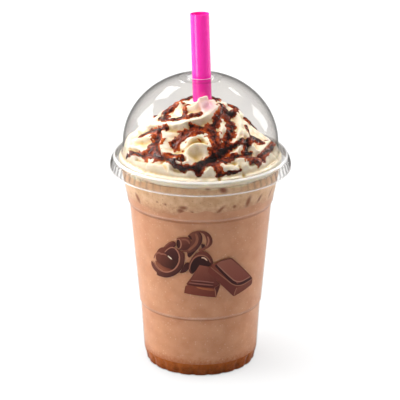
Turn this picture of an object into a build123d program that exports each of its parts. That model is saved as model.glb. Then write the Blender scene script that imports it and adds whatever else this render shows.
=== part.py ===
"""A chocolate milkshake to go: a clear moulded cup of shake under a domed lid, with
whipped cream heaped into the dome and a wide straw through the hole in its top.

Millimetres, +Z up. The origin is the middle of the ring that the cup stands on, and -Y is
the front, where the cup's print is. Everything round the cup's own axis is revolved about Z.
"""

from build123d import *
import math
import os

# ---------------------------------------------------------------- driving dimensions
CUP_WALL = 0.6  # moulded film of the cup
LID_WALL = 0.5  # thinner film of the lid

# The cup: a foot, then three tapered walls, each set back from the next by a stacking step.
FOOT_RADIUS = 31.3
FOOT_CORNER = 1.5
FOOT_FLAT = 1.8  # width of the ring that meets the table
FLOOR_LIFT = 2.4  # how far the floor inside that ring is pushed up
FLOOR_SLOPE = 40  # degrees
BASE_TOP = (31.8, 4.2)  # radius and height where the fluted band ends
LOW_WALL = ((32.65, 7.2), (34.4, 35.4))
MIDDLE_WALL = ((35.15, 37.9), (40.4, 96.4))
TOP_WALL = ((41.45, 99.0), (46.15, 121.9))
CURL_RADIUS = 1.6  # the rolled rim
FLUTES = 22  # upright grooves round the foot
FLUTE_RADIUS = 3.4
FLUTE_DEPTH = 0.6
FLUTE_TOP = 4.0  # where a flute's round end begins

# The lid: a ribbed skirt round the rim, a flat flange, and the dome with a hole in its top.
SKIRT_RADIUS, SKIRT_BOTTOM = 51.0, 116.3
SKIRT_TOP_RADIUS = 49.4
FLANGE_TOP = 124.3
FLANGE_CORNER = 1.5
DOME_FOOT_RADIUS = 45.2
DOME_RADIUS, DOME_SPRING = 43.8, 130.5  # radius and height where the curve begins
DOME_RISE = 40.0  # to the crown that the curve would reach
CROWN_DISC = 12.8  # radius of the flat in the crown
HOLE_RADIUS = 7.4
HOLE_LIP = 1.0  # raised lip round the hole
RIBS = 72
RIB_PROUD = 0.45
RIB_SHARE = 0.45  # of each pitch that is rib
RIB_BOTTOM, RIB_TOP = 117.4, 121.9

# The straw leans to the left and away from the front.
STRAW_RADIUS, STRAW_WALL, STRAW_LENGTH = 5.3, 0.4, 196.0
STRAW_AT_HOLE = (0.6, 0.9, 168.7)  # where its axis crosses the crown
STRAW_LEAN_LEFT, STRAW_LEAN_BACK = 1.8, 5.6  # degrees
STRAW_FOOT = 9.5  # height of its lower end

# The drink's layers, by the height of each one's top.
SETTLED_TOP = 7.8
SHAKE_TOP = 102.5
FOAM_TOP = 119.0

# The whipped cream: one rope piped in a spiral of swelling dabs, on a soft core.
CREAM_CLEARANCE = 0.15
CREAM_EDGE = 129.0  # height at which the cream meets the dome's wall
CORE_TOP = 148.0
CORE_TOP_RADIUS = 9.0
DABS = 28
DAB_FIRST, DAB_LAST = 9.6, 6.4  # radii at the spiral's start and end
SPIRAL_TURNS = 3.1
SPIRAL_OUTER, SPIRAL_INNER = 31.5, 4.0
SPIRAL_LOW, SPIRAL_HIGH = 128.5, 150.5


def section(points):
    """The filled half section, in the XZ plane, whose outer edge runs through these points."""
    with BuildSketch(Plane.XZ) as drawn:
        with BuildLine():
            Polyline((0, points[0][1]), *points, (0, points[-1][1]), close=True)
        make_face()
    return drawn.sketch


def wall_radius(height):
    """The cup's outer radius at a height above its foot."""
    for low, high in (LOW_WALL, MIDDLE_WALL, TOP_WALL):
        if height <= high[1]:
            share = max(0.0, (height - low[1]) / (high[1] - low[1]))
            return low[0] + share * (high[0] - low[0])
    return TOP_WALL[1][0]


# ---------------------------------------------------------------- cup
cup_outline = [
    (FOOT_RADIUS, 0),
    BASE_TOP,
    *LOW_WALL,
    *MIDDLE_WALL,
    *TOP_WALL,
]
hollow_outline = [
    (FOOT_RADIUS - CUP_WALL, CUP_WALL),
    *[(radius - CUP_WALL, height) for radius, height in cup_outline[1:]],
]
flute_reach = FOOT_RADIUS - FLUTE_DEPTH + FLUTE_RADIUS  # from the cup's axis to a flute's
floor_radius = FOOT_RADIUS - FOOT_CORNER - FOOT_FLAT



def flutes(radius):
    """The round-ended rods that press the flutes into the foot."""
    with BuildPart() as rods:
        with PolarLocations(flute_reach, FLUTES):
            Cylinder(radius, FLUTE_TOP, align=(Align.CENTER, Align.CENTER, Align.MIN))
        with Locations((0, 0, FLUTE_TOP)):
            with PolarLocations(flute_reach, FLUTES):
                Sphere(radius)
    return rods.part


def foot(outline, corner, flute_radius, floor_radius, lift):
    """A filled cup shape: rounded and fluted at its foot, with the floor pushed up."""
    with BuildPart() as filled:
        revolve(section(outline))
        fillet(filled.edges().filter_by(GeomType.CIRCLE).sort_by(Axis.Z)[0], corner)
        add(flutes(flute_radius), mode=Mode.SUBTRACT)
        with BuildSketch(Plane.XY):
            Circle(floor_radius)
        extrude(amount=lift, taper=FLOOR_SLOPE, mode=Mode.SUBTRACT)
    return filled.part


cup_mass = foot(cup_outline, FOOT_CORNER, FLUTE_RADIUS, floor_radius, FLOOR_LIFT)
hollow = foot(
    hollow_outline,
    FOOT_CORNER - CUP_WALL,
    FLUTE_RADIUS + CUP_WALL,
    floor_radius + CUP_WALL,
    FLOOR_LIFT + CUP_WALL,
)

curl_radius = TOP_WALL[1][0] - CUP_WALL + CURL_RADIUS
with BuildPart() as cup:
    add(cup_mass)
    add(hollow, mode=Mode.SUBTRACT)
    with BuildSketch(Plane.XZ):
        with Locations((curl_radius, TOP_WALL[1][1])):
            Circle(CURL_RADIUS)
            Circle(CURL_RADIUS - CUP_WALL, mode=Mode.SUBTRACT)
            Rectangle(
                CURL_RADIUS, CURL_RADIUS, align=(Align.MAX, Align.MAX), mode=Mode.SUBTRACT
            )
    revolve()
cup.part.label = "cup"

# ---------------------------------------------------------------- dome lid
def bell(inset):
    """The solid inside the lid's outer face, taken in by a distance all round."""
    radius, rise = DOME_RADIUS - inset, DOME_RISE - inset
    crown_angle = math.degrees(math.acos(CROWN_DISC / radius))
    with BuildPart() as filled:
        with BuildSketch(Plane.XZ):
            with BuildLine():
                Polyline(
                    (CROWN_DISC, DOME_SPRING + rise * math.sin(math.radians(crown_angle))),
                    (0, DOME_SPRING + rise * math.sin(math.radians(crown_angle))),
                    (0, SKIRT_BOTTOM),
                    (SKIRT_RADIUS - inset, SKIRT_BOTTOM),
                )
                FilletPolyline(
                    (SKIRT_RADIUS - inset, SKIRT_BOTTOM),
                    (SKIRT_TOP_RADIUS - inset, FLANGE_TOP - inset),
                    (DOME_FOOT_RADIUS - inset, FLANGE_TOP - inset),
                    radius=FLANGE_CORNER - inset,
                )
                Line((DOME_FOOT_RADIUS - inset, FLANGE_TOP - inset), (radius, DOME_SPRING))
                EllipticalCenterArc(
                    (0, DOME_SPRING), radius, rise, start_angle=0, arc_size=crown_angle
                )
            make_face()
        revolve()
    return filled.part


with BuildPart() as dome_lid:
    add(bell(0))
    crown = dome_lid.faces().sort_by(Axis.Z)[-1]
    with BuildSketch(crown):
        Circle(HOLE_RADIUS + LID_WALL)
    extrude(amount=HOLE_LIP)
    add(bell(LID_WALL), mode=Mode.SUBTRACT)
    with Locations((0, 0, crown.center().Z)):
        Cylinder(HOLE_RADIUS, DOME_RISE, mode=Mode.SUBTRACT)

skirt_slope = (SKIRT_TOP_RADIUS - SKIRT_RADIUS) / (FLANGE_TOP - SKIRT_BOTTOM)
rib_foot = SKIRT_RADIUS + skirt_slope * (RIB_BOTTOM - SKIRT_BOTTOM)
rib_head = SKIRT_RADIUS + skirt_slope * (RIB_TOP - SKIRT_BOTTOM)
rib_root = LID_WALL / 2  # how far each rib reaches into the skirt
rib_width = 2 * math.pi * rib_foot / RIBS * RIB_SHARE

with BuildPart() as rib:
    with BuildSketch(Plane.XZ):
        with BuildLine():
            Polyline(
                (rib_foot - rib_root, RIB_BOTTOM),
                (rib_foot + RIB_PROUD, RIB_BOTTOM),
                (rib_head + RIB_PROUD, RIB_TOP),
                (rib_head - rib_root, RIB_TOP),
                close=True,
            )
        make_face()
    extrude(amount=rib_width / 2, both=True)

with BuildPart() as lid:
    add(dome_lid.part)
    with PolarLocations(0, RIBS):
        add(rib.part)
lid.part.label = "dome_lid"

# ---------------------------------------------------------------- straw
lean = Vector(
    -math.tan(math.radians(STRAW_LEAN_LEFT)), math.tan(math.radians(STRAW_LEAN_BACK)), 1
)
straw_foot = Vector(*STRAW_AT_HOLE) + lean * (STRAW_FOOT - STRAW_AT_HOLE[2])
straw_plane = Plane(origin=straw_foot, z_dir=lean)

with BuildPart() as straw:
    with BuildSketch(straw_plane):
        Circle(STRAW_RADIUS)
        Circle(STRAW_RADIUS - STRAW_WALL, mode=Mode.SUBTRACT)
    extrude(amount=STRAW_LENGTH)
straw.part.label = "straw"

with BuildPart() as straw_room:
    with BuildSketch(straw_plane):
        Circle(STRAW_RADIUS)
    extrude(amount=STRAW_LENGTH)

with BuildPart() as straw_bore:
    with BuildSketch(straw_plane):
        Circle(STRAW_RADIUS - STRAW_WALL)
    extrude(amount=STRAW_LENGTH)


# ---------------------------------------------------------------- drink
def slab(low, high):
    """A block wider than the cup, between two heights."""
    with BuildPart() as block:
        with Locations((0, 0, low)):
            Box(
                2 * SKIRT_RADIUS,
                2 * SKIRT_RADIUS,
                high - low,
                align=(Align.CENTER, Align.CENTER, Align.MIN),
            )
    return block.part


# Chocolate that has sunk to the bottom, under the straw's end.
with BuildPart() as settled:
    add(hollow)
    add(slab(0, SETTLED_TOP), mode=Mode.INTERSECT)
settled.part.label = "settled_chocolate"

# The shake stands round the straw, and as high inside it as the foam does outside.
with BuildPart() as straw_column:
    add(straw_bore.part)
    add(slab(0, FOAM_TOP), mode=Mode.INTERSECT)

with BuildPart() as shake:
    add(hollow)
    add(slab(SETTLED_TOP, SHAKE_TOP), mode=Mode.INTERSECT)
    add(straw_room.part, mode=Mode.SUBTRACT)
    add(straw_column.part)
shake.part.label = "shake"

with BuildPart() as foam:
    add(hollow)
    add(slab(SHAKE_TOP, FOAM_TOP), mode=Mode.INTERSECT)
    add(straw_room.part, mode=Mode.SUBTRACT)
foam.part.label = "foam"


# ---------------------------------------------------------------- whipped cream
def dab(index):
    """The centre and radius of one dab of the piped spiral, as (x, y, z, radius)."""
    share = index / (DABS - 1)
    turn = 2 * math.pi * SPIRAL_TURNS * share**0.8
    reach = SPIRAL_OUTER + (SPIRAL_INNER - SPIRAL_OUTER) * share
    sway = 1.2 * math.sin(5.0 * turn)  # the hand that pipes it is not steady
    height = SPIRAL_LOW + (SPIRAL_HIGH - SPIRAL_LOW) * share + 0.8 * math.cos(3.0 * turn)
    radius = DAB_FIRST + (DAB_LAST - DAB_FIRST) * share + 0.5 * math.sin(2.3 * index)
    return (
        (reach + sway) * math.cos(turn - math.pi / 2),
        (reach + sway) * math.sin(turn - math.pi / 2),
        height,
        radius,
    )


dome_inside = DOME_RADIUS - LID_WALL - CREAM_CLEARANCE
rise_inside = DOME_RISE - LID_WALL - CREAM_CLEARANCE
neck_radius = DOME_FOOT_RADIUS - LID_WALL - CREAM_CLEARANCE
brim_radius = wall_radius(FLANGE_TOP - 4) - CUP_WALL - CREAM_CLEARANCE

with BuildPart() as inside_lid:
    with BuildSketch(Plane.XZ):
        with BuildLine():
            Polyline(
                (0, DOME_SPRING + rise_inside),
                (0, FOAM_TOP),
                (wall_radius(FOAM_TOP) - CUP_WALL - CREAM_CLEARANCE, FOAM_TOP),
                (brim_radius, FLANGE_TOP - 4),
                (neck_radius, FLANGE_TOP - 1),
                (neck_radius, FLANGE_TOP),
                (dome_inside, DOME_SPRING),
            )
            EllipticalCenterArc(
                (0, DOME_SPRING), dome_inside, rise_inside, start_angle=0, arc_size=90
            )
        make_face()
    revolve()

with BuildPart() as cream:
    revolve(
        section(
            [
                (dome_inside + 2, FOAM_TOP),
                (dome_inside + 2, CREAM_EDGE - 3),
                (CORE_TOP_RADIUS, CORE_TOP),
            ]
        )
    )
    for index in range(DABS):
        x, y, z, radius = dab(index)
        with Locations((x, y, z)):
            Sphere(radius)
    add(inside_lid.part, mode=Mode.INTERSECT)
    add(straw_room.part, mode=Mode.SUBTRACT)
cream.part.label = "whipped_cream"

# ---------------------------------------------------------------- files
os.makedirs("parts", exist_ok=True)
for piece in (cup, lid, straw, settled, shake, foam, cream):
    export_step(piece.part, f"parts/{piece.part.label}.step")
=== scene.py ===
"""A chocolate milkshake to go, built in the order it is put together: the clear cup, the
drink's layers, the straw, the whipped cream, the chocolate sauce, the domed lid and the
print on the cup. Lengths in the comments are millimetres; the scene itself is in metres.
"""

import math

import bpy
import numpy as np
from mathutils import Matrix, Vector, noise


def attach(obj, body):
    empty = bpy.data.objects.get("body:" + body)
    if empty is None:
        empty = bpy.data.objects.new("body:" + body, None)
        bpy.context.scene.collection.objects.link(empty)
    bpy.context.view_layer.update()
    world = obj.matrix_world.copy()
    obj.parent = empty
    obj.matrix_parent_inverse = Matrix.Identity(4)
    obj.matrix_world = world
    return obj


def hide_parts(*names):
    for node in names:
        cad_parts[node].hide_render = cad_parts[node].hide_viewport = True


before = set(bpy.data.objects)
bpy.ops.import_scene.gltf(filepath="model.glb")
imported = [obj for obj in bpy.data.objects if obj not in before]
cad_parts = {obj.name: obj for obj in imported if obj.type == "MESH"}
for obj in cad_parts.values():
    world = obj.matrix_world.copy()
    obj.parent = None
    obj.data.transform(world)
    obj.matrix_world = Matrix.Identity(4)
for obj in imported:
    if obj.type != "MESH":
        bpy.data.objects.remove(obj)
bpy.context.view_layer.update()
bpy.ops.object.select_all(action="DESELECT")

MM = 0.001

# ------------------------------------------------------------------------ camera and studio
# The drink stands on a white sweep. The camera looks slightly down on it through a long
# lens, so that its sides stay almost upright.
camera_data = bpy.data.cameras.new("camera")
camera_data.lens = 219.8
camera = bpy.data.objects.new("camera", camera_data)
camera.location = (-0.0003, -1.300, 0.579)
look_at = Vector((-0.0003, 0.0, 0.0958))
camera.rotation_euler = (look_at - camera.location).to_track_quat("-Z", "Y").to_euler()
bpy.context.scene.collection.objects.link(camera)
bpy.context.scene.camera = camera
bpy.context.scene.view_settings.view_transform = "Standard"
# A ray meets film up to forty times on its way through the dome, the flange and the rim.
bpy.context.scene.cycles.transparent_max_bounces = 64


def srgb(code):
    """A colour written as a hex code, as the linear values that a shader takes."""
    parts = [int(code[i : i + 2], 16) / 255 for i in (1, 3, 5)]
    linear = [c / 12.92 if c <= 0.04045 else ((c + 0.055) / 1.055) ** 2.4 for c in parts]
    return (*linear, 1.0)


def node(tree, kind, links=(), **settings):
    """Adds a node: settings are its own properties, links are (input, value or socket)."""
    made = tree.nodes.new(kind)
    for key, value in settings.items():
        setattr(made, key, value)
    for name, value in links:
        if isinstance(value, bpy.types.NodeSocket):
            tree.links.new(value, made.inputs[name])
        else:
            made.inputs[name].default_value = value
    return made


def mix(tree, share, first, last):
    """A colour socket that runs from the first colour to the last as the share rises."""
    links = [(0, share), (6, first), (7, last)]
    return node(tree, "ShaderNodeMix", links, data_type="RGBA").outputs[2]


def spread(tree, value, low, high, start=0.0, end=1.0, **settings):
    """A socket that runs from start to end while the value goes from low to high."""
    links = [
        ("Value", value), ("From Min", low), ("From Max", high), ("To Min", start), ("To Max", end)
    ]
    return node(tree, "ShaderNodeMapRange", links, **settings).outputs[0]


def reckon(tree, operation, *values):
    """A socket with the outcome of one sum."""
    return node(tree, "ShaderNodeMath", enumerate(values), operation=operation).outputs[0]


def stored(tree, name):
    """The socket of a number that `paint` stored."""
    return node(tree, "ShaderNodeAttribute", attribute_name=name).outputs["Fac"]


def grain(tree, size_mm, **inputs):
    """The socket of an even noise, fixed to the piece, with grains of about a size."""
    place = node(tree, "ShaderNodeTexCoord").outputs["Object"]
    links = [("Vector", place), ("Scale", 1 / (size_mm * MM)), *inputs.items()]
    return node(tree, "ShaderNodeTexNoise", links).outputs["Fac"]


def material(name):
    """An empty material with its output, as (material, tree, output)."""
    made = bpy.data.materials.new(name)
    made.use_nodes = True
    made.node_tree.nodes.clear()
    return made, made.node_tree, made.node_tree.nodes.new("ShaderNodeOutputMaterial")


# The world: white behind and around the drink, as the camera, the film and the gloss see
# it, and dimmer on the camera's side of the room, where no lamp or card stands.
BACK_FILL, FRONT_FILL = 0.90, 0.26
BACK_SHEEN, FRONT_SHEEN = 0.36, 0.12
world = bpy.data.worlds.new("studio")
bpy.context.scene.world = world
world.use_nodes = True
tree = world.node_tree
tree.nodes.clear()
room = node(tree, "ShaderNodeTexCoord").outputs["Generated"]
back = node(tree, "ShaderNodeSeparateXYZ", [(0, room)]).outputs["Y"]
rays = node(tree, "ShaderNodeLightPath").outputs
fill, sheen = [
    spread(tree, back, -0.7, 0.5, front, rear, interpolation_type="SMOOTHSTEP")
    for front, rear in ((FRONT_FILL, BACK_FILL), (FRONT_SHEEN, BACK_SHEEN))
]
seen = node(tree, "ShaderNodeMix", [(0, rays["Is Glossy Ray"]), (2, fill), (3, sheen)])
straight = reckon(tree, "MAXIMUM", rays["Is Camera Ray"], rays["Is Transmission Ray"])
strength = node(tree, "ShaderNodeMix", [(0, straight), (2, seen.outputs[0]), (3, 1.0)])
sky = node(
    tree, "ShaderNodeBackground", [("Color", (1, 1, 1, 1)), ("Strength", strength.outputs[0])]
)
node(tree, "ShaderNodeOutputWorld", [("Surface", sky.outputs[0])])

# The sweep: white laminate that shows the drink's soft shadow.
bpy.ops.mesh.primitive_plane_add(size=6.0, location=(0, 0, 0))
floor = bpy.context.object
floor.name = "floor"
# Where it is seen it glows as a lit sheet does, and what it throws back on the drink is dimmer.
sweep, tree, out = material("white_laminate")
lit_sheet = node(
    tree, "ShaderNodeBsdfPrincipled",
    [("Base Color", srgb("#808080")), ("Roughness", 0.6), ("Specular IOR Level", 0.0),
     ("Emission Color", (1, 1, 1, 1)), ("Emission Strength", 0.62)],
)
bounced = node(
    tree, "ShaderNodeBsdfPrincipled", [("Base Color", srgb("#a8a8a8")), ("Roughness", 0.6)]
)
board = node(
    tree, "ShaderNodeMixShader",
    [(0, node(tree, "ShaderNodeLightPath").outputs["Is Camera Ray"]), (1, bounced.outputs[0]),
     (2, lit_sheet.outputs[0])],
)
tree.links.new(board.outputs[0], out.inputs["Surface"])
floor.data.materials.append(sweep)


def softbox(name, bearing, rise, distance, width, height, power, mirrored=True):
    """A soft panel lamp aimed at the dome: bearing is in degrees from the front, to the
    right; distance, width and height are in metres, power in watts."""
    lamp = bpy.data.lights.new(name, "AREA")
    lamp.shape = "RECTANGLE"
    lamp.size, lamp.size_y = width, height
    lamp.energy = power
    panel = bpy.data.objects.new(name, lamp)
    across, up = math.radians(bearing), math.radians(rise)
    aim = Vector((0, 0, 0.13))
    panel.location = aim + distance * Vector(
        (math.sin(across) * math.cos(up), -math.cos(across) * math.cos(up), math.sin(up))
    )
    panel.rotation_euler = (aim - panel.location).to_track_quat("-Z", "Y").to_euler()
    panel.visible_glossy = mirrored
    bpy.context.scene.collection.objects.link(panel)
    return panel


# Four windows show as patches in the dome, and three washes light the drink without showing.
softbox("left_window", -112, 22, 1.2, 0.62, 0.50, 9)
softbox("left_back_window", -144, 40, 1.2, 0.40, 0.34, 5)
softbox("right_window", 122, 15, 1.2, 0.34, 0.50, 4.8)
softbox("right_back_window", 146, 38, 1.2, 0.26, 0.12, 0.9)
softbox("left_wash", -82, 24, 1.6, 0.9, 0.9, 19.5, mirrored=False)
softbox("right_wash", 108, 10, 1.6, 0.9, 0.9, 8.5, mirrored=False)
softbox("top_wash", -15, 80, 1.6, 1.0, 1.0, 34, mirrored=False)

# ------------------------------------------------------------------------ cup
# A moulded PET cup. Its wall tapers in three stages with a stacking step under each, the
# foot has upright flutes for stiffness, and the rim is rolled outwards over the lid's seat.
FILM = 0.6
FLUTES, FLUTE_DEPTH = 22, 0.6
FLUTE_TOP, FLUTE_REACH = 8.2, 25.0
CUP_STEPS = FLUTES * 14


def lathe(name, outline, steps):
    """A sheet spun about the cup's axis from an outline of (reach, height) points."""
    bpy.ops.mesh.primitive_plane_add(size=MM, location=(0, 0, 0))
    made = bpy.context.object
    made.name = name
    bpy.ops.object.mode_set(mode="EDIT")
    bpy.ops.mesh.merge(type="CENTER")
    bpy.ops.transform.translate(value=(outline[0][0] * MM, 0, outline[0][1] * MM))
    for before, after in zip(outline, outline[1:]):
        move = ((after[0] - before[0]) * MM, 0, (after[1] - before[1]) * MM)
        bpy.ops.mesh.extrude_region_move(TRANSFORM_OT_translate={"value": move})
    bpy.ops.mesh.select_all(action="SELECT")
    bpy.ops.mesh.spin(
        steps=steps, angle=2 * math.pi, center=(0, 0, 0), axis=(0, 0, 1), use_auto_merge=False
    )
    bpy.ops.mesh.select_all(action="SELECT")
    bpy.ops.mesh.remove_doubles(threshold=0.02 * MM)
    bpy.ops.object.mode_set(mode="OBJECT")
    return made


def arc(centre, radius, start, end, steps):
    """Points on an arc in the (reach, height) plane, with angles in degrees."""
    angles = [math.radians(start + (end - start) * i / steps) for i in range(steps + 1)]
    return [(centre[0] + radius * math.cos(a), centre[1] + radius * math.sin(a)) for a in angles]


def eased(points, cut):
    """The same outline with each inner corner rounded off over a short distance."""
    out = [points[0]]
    for before, corner, after in zip(points, points[1:], points[2:]):
        near = [Vector(p) - Vector(corner) for p in (before, after)]
        reach = min(cut, near[0].length / 2.2, near[1].length / 2.2)
        first, last = [Vector(corner) + n.normalized() * reach for n in near]
        for share in (0.0, 0.33, 0.67, 1.0):
            a = first.lerp(Vector(corner), share)
            b = Vector(corner).lerp(last, share)
            out.append(tuple(a.lerp(b, share)))
    out.append(points[-1])
    return out


def flute(mesh, sink):
    """Presses the flutes into the foot: deepest low down, fading out below the first wall."""
    for vertex in mesh.vertices:
        x, y, z = vertex.co / MM
        reach = math.hypot(x, y)
        if reach < FLUTE_REACH or z > FLUTE_TOP + 0.3:
            continue
        wave = max(0.0, math.cos(FLUTES * math.atan2(y, x))) ** 1.5
        fade = min(1.0, (FLUTE_TOP - z) / 2.2) * min(1.0, (reach - FLUTE_REACH) / 5)
        scale = 1 - sink * wave * max(0.0, fade) / reach
        vertex.co.x *= scale
        vertex.co.y *= scale


def choose(piece):
    """Makes the piece the only one selected, for the operators."""
    bpy.ops.object.select_all(action="DESELECT")
    piece.select_set(True)
    bpy.context.view_layer.objects.active = piece


def smooth(piece, angle=35):
    """Smooth shading across all but the sharp edges."""
    choose(piece)
    bpy.ops.object.shade_smooth_by_angle(angle=math.radians(angle))


def apply(piece, name, kind, **settings):
    """Adds a modifier and applies it."""
    made = piece.modifiers.new(name, kind)
    for key, value in settings.items():
        setattr(made, key, value)
    choose(piece)
    bpy.ops.object.modifier_apply(modifier=name)


def thicken(piece, amount):
    """Gives a sheet its wall, inwards."""
    apply(piece, "wall", "SOLIDIFY", thickness=amount * MM, offset=-1.0, use_even_offset=True)


def paint(piece, name, values):
    """Stores one number for each point, for a material to read."""
    layer = piece.data.attributes.new(name, "FLOAT", "POINT")
    layer.data.foreach_set("value", np.asarray(values, dtype=np.float32))


cup_wall = [
    (31.3, 1.5), (31.8, 4.2), (32.65, 7.2), (34.4, 35.9), (35.05, 36.8), (35.2, 37.9),
    (40.4, 96.6), (41.3, 97.7), (41.5, 99.1), (46.0, 120.6),
]
cup_floor = [(0, 2.4), (12, 2.4), (25.2, 2.4), (28.0, 0.0), (29.8, 0.0)]
rim = arc((47.15, 121.6), 1.3, 180, -120, 14)
cup_outline = cup_floor + arc((29.8, 1.5), 1.5, -60, 0, 3) + eased(cup_wall, 1.1)[1:-1] + rim
cup = lathe("clear_cup", cup_outline, CUP_STEPS)
flute(cup.data, FLUTE_DEPTH)
thicken(cup, FILM)
smooth(cup)


def clear_film(
    name, tint, edge_tint, head_on, edge_on, shine, highlight_haze=0.0, onset=6.0, gloss_onset=5.0
):
    """Moulded PET: it hardly bends what is behind it, greys where seen edge-on, and mirrors
    from the head-on share to the edge-on one. The highlight haze is the share of lit white mixed
    in, which paints highlight lines on the edges and ledges that have it. The lower an onset,
    the less the film has to turn before it greys or mirrors."""
    made, tree, out = material(name)
    facing = node(tree, "ShaderNodeLayerWeight", [("Blend", 0.5)]).outputs["Facing"]
    through = mix(tree, reckon(tree, "POWER", facing, onset), srgb(tint), srgb(edge_tint))
    share = spread(tree, reckon(tree, "POWER", facing, gloss_onset), 0.0, 1.0, head_on, edge_on)
    open_way = node(tree, "ShaderNodeBsdfTransparent", [("Color", through)])
    mirror = node(
        tree, "ShaderNodeBsdfGlossy", [("Color", srgb("#ffffff")), ("Roughness", shine)]
    )
    film = node(
        tree, "ShaderNodeMixShader",
        [(0, share), (1, open_way.outputs[0]), (2, mirror.outputs[0])],
    )
    stretched = node(
        tree, "ShaderNodeBsdfPrincipled",
        [("Base Color", srgb("#ffffff")), ("Roughness", 0.4), ("IOR", 1.57)],
    )
    whole = node(
        tree, "ShaderNodeMixShader", [(0, highlight_haze), (1, film.outputs[0]), (2, stretched.outputs[0])]
    )
    tree.links.new((whole if highlight_haze else film).outputs[0], out.inputs["Surface"])
    return made


# The two ledge films paint a shade line under each ledge and a highlight line on top of it.
for film in (
    clear_film("moulded_PET_cup", "#fcfcfc", "#e4e2e0", 0.012, 0.30, 0.03),
    clear_film("PET_ledge_painted_highlight", "#fcfcfc", "#e4e2e0", 0.02, 0.30, 0.10, highlight_haze=0.07),
    clear_film("PET_ledge_painted_shade", "#eae3de", "#bdb5b0", 0.012, 0.30, 0.03),
):
    cup.data.materials.append(film)
# Under each ledge, where the wall turns the light away, the film is tinted darker as painted
# shade, and on top of it a white haze paints a highlight line.
LEDGES = [(35.6, 36.8, 38.0), (96.3, 97.8, 99.2)]
for face in cup.data.polygons:
    for low, middle, high in LEDGES:
        if low < face.center.z / MM < high:
            face.material_index = 2 if face.center.z / MM < middle else 1
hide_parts("cup")
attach(cup, "root")

# ------------------------------------------------------------------------ drink
# Three layers fill the cup: dark chocolate that has sunk, the shake, and paler froth. Each
# reaches a little way into the wall, so that no air shows between drink and film.
BITE = 0.25
SETTLED_TOP, SHAKE_TOP, FOAM_TOP = 7.9, 102.5, 119.0


wall_reaches, wall_heights = zip(*cup_wall)


def wall_reach(height):
    """How far the drink reaches from the cup's axis at a height."""
    return float(np.interp(height, wall_heights, wall_reaches)) - FILM + BITE


def swell(bearing):
    """How far the froth's lower edge strays from its mean height, round the cup."""
    slow = 1.1 * math.sin(3 * bearing + 0.6) + 0.9 * math.sin(7 * bearing + 2.0)
    return slow + 0.8 * abs(math.sin(9.5 * bearing + 0.4)) + 0.4 * math.sin(23 * bearing)


def filling(name, low, high, rows, replaced):
    """A lathed layer of the drink between two heights, with the froth's wavy edge at its own."""
    side = [(wall_reach(z), z) for z in np.linspace(low, high, rows)]
    made = lathe(name, [(0, low), *side, (0, high)], CUP_STEPS)
    flute(made.data, FLUTE_DEPTH)
    for vertex in made.data.vertices:
        x, y, z = vertex.co / MM
        share = max(0.0, 1 - abs(z - SHAKE_TOP) / 8)
        if share > 0 and math.hypot(x, y) > 1:
            raised = z + share * swell(math.atan2(x, -y))
            widened = wall_reach(raised) / wall_reach(z)
            vertex.co = (vertex.co.x * widened, vertex.co.y * widened, raised * MM)
    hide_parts(replaced)
    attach(made, "root")
    return made


shake = filling("shake_body", SETTLED_TOP, SHAKE_TOP, 120, "shake")
foam = filling("froth", SHAKE_TOP, FOAM_TOP, 48, "foam")
settled = lathe(
    "sunk_chocolate",
    [(0, 3.2), (25.0, 3.2), (28.2, 0.35), (29.8, 0.35)]
    + arc((29.8, 1.5), 1.15, -60, 0, 3)
    + [(wall_reach(z), z) for z in np.linspace(2.2, SETTLED_TOP, 12)]
    + [(0, SETTLED_TOP)],
    CUP_STEPS,
)
flute(settled.data, FLUTE_DEPTH)
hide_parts("settled_chocolate")
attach(settled, "root")
for layer in (shake, foam, settled):
    smooth(layer, 50)


def milky(name, light, dark, patch_mm, bubble_mm, bubble_show, bubble_ink, stain, wet=0.5):
    """Blended milk and chocolate: soft cloudy patches, and fine bubbles held against the wall.
    A stain is (colour, low, high): it shows below low and is gone above high, in millimetres.
    Wet is the specular level; a liquid that wets the wall has hardly any."""
    made, tree, out = material(name)
    clouds = grain(tree, patch_mm, Detail=4.0, Roughness=0.6)
    body = mix(tree, spread(tree, clouds, 0.35, 0.65), srgb(dark), srgb(light))
    ink, low, high = stain
    # The noise averages a half, so the stain's two heights are raised by half of its swing.
    swing = (high - low) * 1.6
    place = node(tree, "ShaderNodeTexCoord").outputs["Object"]
    height = node(tree, "ShaderNodeSeparateXYZ", [(0, place)]).outputs["Z"]
    ragged_edge = grain(tree, 1.6, Detail=3.0, Roughness=0.7)
    strayed = reckon(tree, "MULTIPLY_ADD", ragged_edge, swing * MM, height)
    fade = spread(tree, strayed, (low + swing / 2) * MM, (high + swing / 2) * MM)
    body = mix(tree, fade, srgb(ink), body)
    bubbles = node(
        tree, "ShaderNodeTexVoronoi",
        [("Vector", place), ("Scale", 1 / (bubble_mm * MM)), ("Randomness", 1.0)],
    )
    lot = node(tree, "ShaderNodeSeparateColor", [(0, bubbles.outputs["Color"])]).outputs[0]
    small = spread(tree, bubbles.outputs["Distance"], 0.10, 0.32, 1.0, 0.0)
    speck = reckon(tree, "MULTIPLY", small, spread(tree, lot, 0.6, 0.9, 0.0, bubble_show))
    coat = mix(tree, speck, body, srgb(bubble_ink))
    creamed = mix(tree, stored(tree, "cream"), coat, srgb("#ecdcb4"))
    dented = mix(tree, stored(tree, "pocket"), creamed, srgb("#8a4f2f"))
    drink = node(
        tree, "ShaderNodeBsdfPrincipled",
        [("Base Color", dented), ("Roughness", 0.45), ("Specular IOR Level", wet),
         ("Subsurface Weight", 0.25), ("Subsurface Radius", (0.004, 0.002, 0.001)),
         ("Subsurface Scale", 1.0)],
    )
    tree.links.new(drink.outputs[0], out.inputs["Surface"])
    return made


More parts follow.
